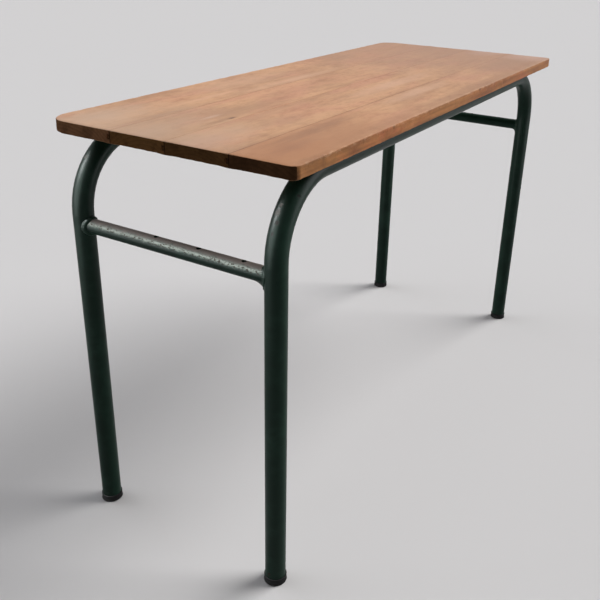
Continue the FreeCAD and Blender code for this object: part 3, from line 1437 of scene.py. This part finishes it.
@dataclass
class TubeFrame:
    """The bent arches and their stretchers, with ripple welds where they meet."""

    sizes: DeskSizes
    effects: Effects
    arch_chips: float = 0.15
    bar_chips: float = 0.20
    bead_size: float = 0.004
    bead_sink: float = 0.002
    bead_columns: int = 84
    bead_steps: int = 6
    bead_angle: float = 60.0
    drip_power: int = 12
    ripple_columns: int = 4
    ripple_share: float = 0.16

    def build(self) -> None:
        """Dresses the tubes, and builds and dresses the welds."""
        arch_paint = PaintFinish("arch_paint", self.arch_chips, marks=self._chips_and_painted_highlights()).material(self.effects)
        for side in Side:
            dress_node(f"{side.word}_arch_tube", arch_paint)
        for end, crown in ((End.LEFT, RubbedCrown()), (End.RIGHT, None)):
            bar = PaintFinish(f"{end.word}_stretcher_paint", self.bar_chips, crown)
            dress_node(f"{end.word}_stretcher", bar.material(self.effects))
        # the welds get a lighter copy of the green paint: painted light that lifts the beads out of their
        # shade
        thick = PaintFinish("weld_paint_painted_light", self.bar_chips, fresh=srgb(33, 58, 47), faded=srgb(52, 76, 64))
        weld_paint_painted_light = thick.material(self.effects)
        for (side, end), shape in self._bead_shapes().items():
            node = f"weld_{side.word}_{end.word}"
            first = self._bead(shape)
            turn = Matrix.Rotation(0.0 if side is Side.FRONT else math.pi, 4, "Z")
            place = Matrix.Translation((end.value * self.sizes.leg_x, 0, 0))
            hand_over(copy_piece(first, f"{node}_bead", place @ turn), (weld_paint_painted_light,), node)
            bpy.data.objects.remove(first)

    @staticmethod
    def _bead_shapes() -> dict[tuple[Side, End], BeadShape]:
        """The shape of each weld, the front ones run out down the legs."""
        round_bead = BeadShape(0.0040, 0.0060, 0.0045, 0.0065, hollow=False)
        return {
            (Side.FRONT, End.LEFT): BeadShape(0.0030, 0.0050, 0.0140, 0.0280, hollow=True),
            (Side.REAR, End.LEFT): round_bead,
            (Side.FRONT, End.RIGHT): BeadShape(0.0030, 0.0050, 0.0100, 0.0100, hollow=True),
            (Side.REAR, End.RIGHT): round_bead,
        }

    @staticmethod
    def _chips_and_painted_highlights() -> tuple[Mark, ...]:
        """The knocks and worn spots on the two bends at the left end; the pale spots are worn paint and also
        a painted highlight.
        """
        dark, brown, worn = srgb(16, 18, 16), srgb(38, 33, 28), srgb(126, 122, 112)
        return (
            Mark((-0.5446, -0.2053, 0.6803), (0.0036, 0.0036, 0.0030), dark, 0.9),
            # pale spots on the front bend: worn paint and a painted highlight
            Mark((-0.5716, -0.1880, 0.6600), (0.0045, 0.0060, 0.0080), worn, 0.8),
            Mark((-0.5651, -0.1891, 0.6697), (0.0030, 0.0040, 0.0050), worn, 0.6),
            Mark((-0.5797, -0.1923, 0.6484), (0.0040, 0.0040, 0.0050), brown, 0.9),
            Mark((-0.5870, -0.1890, 0.6340), (0.0030, 0.0030, 0.0040), brown, 0.8),
            # pale spot on the rear bend: a painted highlight in the colour of worn paint
            Mark((-0.5610, 0.1930, 0.6740), (0.0040, 0.0050, 0.0060), worn, 0.5),
        )

    def _bead(self, shape: BeadShape) -> Piece:
        """Models one bead round a stretcher's front end, over the middle of the floor.

        Args:
            shape: The bead's reaches and section.

        Returns:
            The bead.
        """
        bar, size, sink = self.sizes.stretcher_radius, self.bead_size, self.bead_sink
        middle = Vector((0, 0, self.sizes.stretcher_z))
        centre = tuple(middle - ALONG_Y * sink / 2)
        bead = add_disc(self.bead_columns, bar + size, sink, centre, (-math.pi / 2, 0, 0))
        pick_facing(bead, ALONG_Y)
        section = (*self._section(shape.hollow), (-sink, size))
        draw_out(ALONG_Y, middle, (bar + size, 0.0), [(bar + out, along) for out, along in section])
        self._lay_on_leg(bead, shape)
        close_mesh(bead, self.bead_angle)
        return bead

    def _section(self, hollow: bool) -> list[Pair]:
        """Lists the points of a bead's section.

        Args:
            hollow: Whether the section curves inwards.

        Returns:
            The reach of each point, out from the stretcher and along it.
        """
        turns = [math.pi / 2 * (step + 1) / self.bead_steps for step in range(self.bead_steps)]
        if hollow:
            shares = [(1 - math.sin(turn), 1 - math.cos(turn)) for turn in turns]
        else:
            shares = [(math.cos(turn), math.sin(turn)) for turn in turns]
        return [(self.bead_size * out, self.bead_size * along) for out, along in shares]

    def _lay_on_leg(self, bead: Piece, shape: BeadShape) -> None:
        """Gives a bead its reaches all round, with ripples, and lays it against the leg.

        Args:
            bead: The even bead, in edit mode.
            shape: Its reaches.
        """
        sizes, step = self.sizes, math.tau / self.bead_columns
        leave_edit()
        columns: dict[int, list[int]] = {}
        for vertex in bead.data.vertices:
            angle = math.atan2(vertex.co.z - sizes.stretcher_z, vertex.co.x)
            columns.setdefault(round(angle / step), []).append(vertex.index)
        edit(bead)
        for column, numbers in columns.items():
            pick_vertices(bead, numbers)
            angle = column * step
            below = ((1 - math.sin(angle)) / 2) ** self.drip_power
            ripple = 1 - self.ripple_share * (column % self.ripple_columns) / self.ripple_columns
            out = (shape.out + (shape.low_out - shape.out) * below) * ripple / self.bead_size
            along = (shape.along + (shape.low_along - shape.along) * below) * ripple / self.bead_size
            across = sizes.stretcher_radius * math.cos(angle)
            height = sizes.stretcher_radius * math.sin(angle)
            foot = -sizes.leg_y + math.sqrt(sizes.tube_radius ** 2 - across ** 2)
            centre = (across, 0, sizes.stretcher_z + height)
            bpy.ops.transform.resize(value=(out, along, out), center_override=centre)
            bpy.ops.transform.translate(value=(0, foot, 0))
        leave_edit()


@dataclass
class Ferrules:
    """The rubber ferrules under the legs."""

    sizes: DeskSizes
    effects: Effects
    sides: int = 64
    play: float = 0.0002
    rim_height: float = 0.0030
    rim_stand: float = 0.0006
    socket_depth: float = 0.009
    ease: float = 0.0012
    bevel: float = 0.0005
    bevel_segments: int = 3
    bevel_angle: float = 25.0
    smooth_angle: float = 50.0

    def build(self) -> None:
        """Builds one ferrule, copies it to every leg and dresses the copies."""
        rubber = RubberFinish().material(self.effects)
        first = self._ferrule()
        for end in End:
            for side in Side:
                node = f"foot_{side.word}_{end.word}"
                place = (end.value * self.sizes.leg_x, side.value * self.sizes.leg_y, 0.0)
                foot = copy_piece(first, f"{node}_ferrule", Matrix.Translation(place))
                hand_over(foot, (rubber,), node)
        bpy.data.objects.remove(first)

    def _ferrule(self) -> Piece:
        """Models a ferrule at the origin from a disc that is drawn up ring by ring.

        Returns:
            The ferrule.
        """
        low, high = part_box("foot_front_left")
        ground = (high.x - low.x) / 2
        socket = self.sizes.tube_radius + self.play
        lip = ground - 2 * self.rim_stand
        rim_z = high.z - self.rim_height
        rings = (
            (ground, self.ease),
            (ground - self.rim_stand, rim_z / 2),
            (lip, rim_z),
            (lip + self.rim_stand, rim_z + self.rim_stand),
            (lip + self.rim_stand, high.z - self.rim_stand),
            (lip - self.rim_stand, high.z),
            (socket, high.z),
            (socket, high.z - self.socket_depth),
        )
        sole = self.ease / 2
        foot = add_disc(self.sides, ground - self.ease, sole, (0, 0, sole / 2))
        pick_facing(foot, UP)
        draw_out(UP, Vector(ORIGIN), (ground - self.ease, sole), rings)
        leave_edit()
        soften = foot.modifiers.new("soften", "BEVEL")
        soften.width = self.bevel
        soften.segments = self.bevel_segments
        soften.limit_method = "ANGLE"
        soften.angle_limit = math.radians(self.bevel_angle)
        apply_modifier(foot, "soften")
        close_mesh(foot, self.smooth_angle)
        return foot


@dataclass
class RailScrews:
    """The slotted wood screws that hold the top, seen through the holes under the rails."""

    sizes: DeskSizes
    effects: Effects
    sides: int = 40
    count: int = 4
    shank_radius: float = 0.00225
    head_radius: float = 0.0045
    head_height: float = 0.0030
    dome_share: float = 0.62
    dome_segments: int = 5
    slot_width: float = 0.0011
    slot_depth: float = 0.0012
    tip_length: float = 0.004
    point_share: float = 0.2
    smooth_angle: float = 35.0

    def build(self) -> None:
        """Builds one screw, copies it along both rails and dresses each rail's set."""
        steel = SteelFinish().material(self.effects)
        for side in Side:
            node = f"{side.word}_rail_screws"
            low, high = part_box(node)
            first = self._screw(low.z, high.z)
            reach = high.x - self.head_radius
            places = [-reach + 2 * reach * i / (self.count - 1) for i in range(self.count)]
            moves = [Matrix.Translation((x, side.value * self.sizes.leg_y, 0)) for x in places]
            screws = [copy_piece(first, f"{node}_slotted", move) for move in moves]
            select_only(*screws)
            bpy.ops.object.join()
            bpy.data.objects.remove(first)
            hand_over(screws[0], (steel,), node)

    def _screw(self, crown_z: float, tip_z: float) -> Piece:
        """Models a screw over the origin, point up.

        Args:
            crown_z: Where its head begins.
            tip_z: Where its point ends.

        Returns:
            The screw.
        """
        head, shank, seat_z = self.head_radius, self.shank_radius, crown_z + self.head_height
        screw = add_disc(self.sides, head, self.head_height, (0, 0, (crown_z + seat_z) / 2))
        pick_facing(screw, -UP)
        dome = self.head_height * self.dome_share
        bpy.ops.mesh.bevel(offset=dome, segments=self.dome_segments, affect="EDGES")
        pick_facing(screw, UP)
        bpy.ops.mesh.inset(thickness=head - shank)
        rings = ((shank, tip_z - self.tip_length), (shank * self.point_share, tip_z))
        draw_out(UP, Vector(ORIGIN), (shank, seat_z), rings)
        leave_edit()
        self._cut_slot(screw, crown_z)
        close_mesh(screw, self.smooth_angle)
        return screw

    def _cut_slot(self, screw: Piece, crown_z: float) -> None:
        """Cuts the driver's slot across a screw's head.

        Args:
            screw: The screw in object mode.
            crown_z: Where its head begins.
        """
        bpy.ops.object.select_all(action="DESELECT")
        bpy.ops.mesh.primitive_cube_add(size=1, location=(0, 0, crown_z))
        cutter = bpy.context.active_object
        cutter.scale = (3 * self.head_radius, self.slot_width, 2 * self.slot_depth)
        settle(cutter)
        cut = screw.modifiers.new("slot", "BOOLEAN")
        cut.operation = "DIFFERENCE"
        cut.object = cutter
        apply_modifier(screw, "slot")
        bpy.data.objects.remove(cutter)


@dataclass(frozen=True)
class PhotoView:
    """The camera: where it stands, how it is turned, and where its axis meets the picture, in pixels."""

    place: Point = (-1.3890, -0.7350, 1.0144)
    azimuth: float = -59.42
    elevation: float = 23.16
    roll: float = 1.47
    focal_pixels: float = 756.1
    centre_pixels: Pair = (316.5, 257.6)
    picture_pixels: float = 600.0
    sensor: float = 36.0
    sight: float = 200.0

    def build(self) -> None:
        """Adds the camera and makes it the scene's."""
        lens = bpy.data.cameras.new("photo_view")
        lens.sensor_width = self.sensor
        lens.lens = self.focal_pixels / self.picture_pixels * self.sensor
        lens.shift_x = 0.5 - self.centre_pixels[0] / self.picture_pixels
        lens.shift_y = self.centre_pixels[1] / self.picture_pixels - 0.5
        lens.clip_end = self.sight
        camera = bpy.data.objects.new("photo_view", lens)
        tilt = Matrix.Rotation(math.radians(90 - self.elevation), 4, "X")
        turn = Matrix.Rotation(math.radians(self.azimuth), 4, "Z")
        level = Matrix.Rotation(math.radians(self.roll), 4, "Z")
        camera.matrix_world = Matrix.Translation(self.place) @ turn @ tilt @ level
        bpy.context.scene.collection.objects.link(camera)
        bpy.context.scene.camera = camera


@dataclass(frozen=True)
class Lamp:
    """A lamp of the studio, aimed at a point. A sun's size is an angle, and a card's is a length."""

    name: str
    kind: LampKind
    place: Point
    aim: Point
    power: float
    size: float
    colour: tuple[float, float, float]
    reach: Reach = Reach.BOTH
    spared: tuple[Piece, ...] = ()

    def build(self) -> None:
        """Adds the lamp, which the camera doesn't see and the spared pieces don't show."""
        light = bpy.data.lights.new(self.name, self.kind.value)
        light.energy = self.power
        light.color = self.colour
        if self.kind is LampKind.SUN:
            light.angle = self.size
        else:
            light.shape = "DISK"
            light.size = self.size
        lamp = bpy.data.objects.new(self.name, light)
        towards = Vector(self.aim) - Vector(self.place)
        turn = towards.to_track_quat("-Z", "Y").to_matrix().to_4x4()
        lamp.matrix_world = Matrix.Translation(self.place) @ turn
        lamp.visible_camera = False
        lamp.visible_diffuse = self.reach is not Reach.SHINE
        lamp.visible_glossy = self.reach is not Reach.LIGHT
        bpy.context.scene.collection.objects.link(lamp)
        if self.spared:
            lamp.light_linking.receiver_collection = self._left_out()

    def _left_out(self) -> bpy.types.Collection:
        """Lists the spared pieces in the way that a lamp takes them.

        Returns:
            The list.
        """
        pieces = bpy.data.collections.new(f"{self.name}_left_out")
        for piece in self.spared:
            pieces.objects.link(piece)
        for entry in pieces.collection_objects:
            entry.light_linking.link_state = "EXCLUDE"
        return pieces


@dataclass
class Studio:
    """The pale floor, the soft light and the camera."""

    floor_size: float = 80.0
    seen_floor: Colour = (0.66, 0.655, 0.665, 1.0)
    dim_floor: Colour = (0.26, 0.258, 0.262, 1.0)
    sky: Colour = (0.62, 0.62, 0.635, 1.0)
    dim_sky: float = 0.12
    bright_sky: float = 0.75
    bright_way: Point = (0.62, 0.78, 0.0)
    sky_step: Pair = (-0.7, 0.7)

    def build(self) -> None:
        """Adds everything and sets how colours are shown."""
        bpy.context.scene.view_settings.view_transform = "Standard"
        self._floor()
        self._world()
        for lamp in self._lamps():
            lamp.build()
        PhotoView().build()

    @staticmethod
    def _lamps() -> tuple[Lamp, ...]:
        """Lists the window, the light back from the walls, and the pale walls that the paint reflects.

        Returns:
            The lamps.
        """
        sun, card, shine = LampKind.SUN, LampKind.CARD, Reach.SHINE
        warm, cool, lilac = (1.0, 0.985, 0.96), (0.97, 0.98, 1.0), (1.0, 0.95, 1.0)
        middle, left_end = (0.0, 0.0, 0.5), (-0.55, 0.0, 0.6)
        front_bend, rear_bend = (-0.5, -0.2, 0.65), (-0.57, 0.19, 0.66)
        boards = tuple(bpy.data.objects[f"{node}_worn"] for node in BOARD_NODES)
        left_bar, right_bar = (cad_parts[f"{end.word}_stretcher"] for end in End)
        dull = (*boards, right_bar)
        return (
            Lamp("window", sun, (2.4, -1.8, 3.14), middle, 2.9, math.radians(38), warm),
            Lamp("wall_bounce", sun, (-0.45, 2.85, 1.31), middle, 1.1, math.radians(60), cool, Reach.LIGHT),
            Lamp("left_wall", card, (-1.85, 0.85, 1.05), left_end, 85.0, 2.1, cool, shine, dull),
            Lamp("front_wall", card, (0.9, -2.1, 0.9), front_bend, 32.0, 1.8, lilac, shine, dull),
            Lamp("rear_wall", card, (-1.1, 0.8, 1.25), rear_bend, 28.0, 0.5, cool, shine, (*dull, left_bar)),
        )

    @staticmethod
    def _seen(graph: Graph) -> Socket:
        """Says whether the camera, a reflection or a see-through surface looks at the point."""
        path = graph.add("ShaderNodeLightPath").outputs
        return graph.largest((path["Is Camera Ray"], path["Is Glossy Ray"], path["Is Transmission Ray"]))

    def _floor(self) -> None:
        """Lays the floor, which looks pale but throws little light back on the desk."""
        bpy.ops.object.select_all(action="DESELECT")
        bpy.ops.mesh.primitive_plane_add(size=self.floor_size)
        floor = bpy.context.active_object
        floor.name = "studio_floor"
        material = bpy.data.materials.new("pale_floor")
        material.use_nodes = True
        graph = Graph(material.node_tree)
        colour = graph.mix(self._seen(graph), self.dim_floor, self.seen_floor)
        shader = graph.add("ShaderNodeBsdfDiffuse", {"Color": colour})
        graph.add("ShaderNodeOutputMaterial", {"Surface": shader.outputs[0]})
        floor.data.materials.append(material)

    def _world(self) -> None:
        """Surrounds the desk with soft light, weaker at the front left, seen as an even pale backdrop."""
        world = bpy.data.worlds.new("studio")
        world.use_nodes = True
        graph = Graph(world.node_tree)
        way = graph.add("ShaderNodeTexCoord").outputs["Generated"]
        facing = graph.measure("DOT_PRODUCT", way, self.bright_way)
        soft = graph.span(graph.smooth(facing, *self.sky_step), self.dim_sky, self.bright_sky)
        strength = graph.largest((self._seen(graph), soft))
        light = graph.add("ShaderNodeBackground", {"Color": self.sky, "Strength": strength})
        graph.add("ShaderNodeOutputWorld", {"Surface": light.outputs[0]})
        bpy.context.scene.world = world


def main() -> None:
    """Builds the desk's pieces in order, then the studio."""
    logging.basicConfig(level=logging.INFO, format="%(name)s: %(message)s")
    sizes = DeskSizes.from_frame()
    effects = Effects()
    for assembly in (BoardTop, TubeFrame, Ferrules, RailScrews):
        log.info("building %s", assembly.__name__)
        assembly(sizes, effects).build()
    Studio().build()


if __name__ == "__main__":
    main()
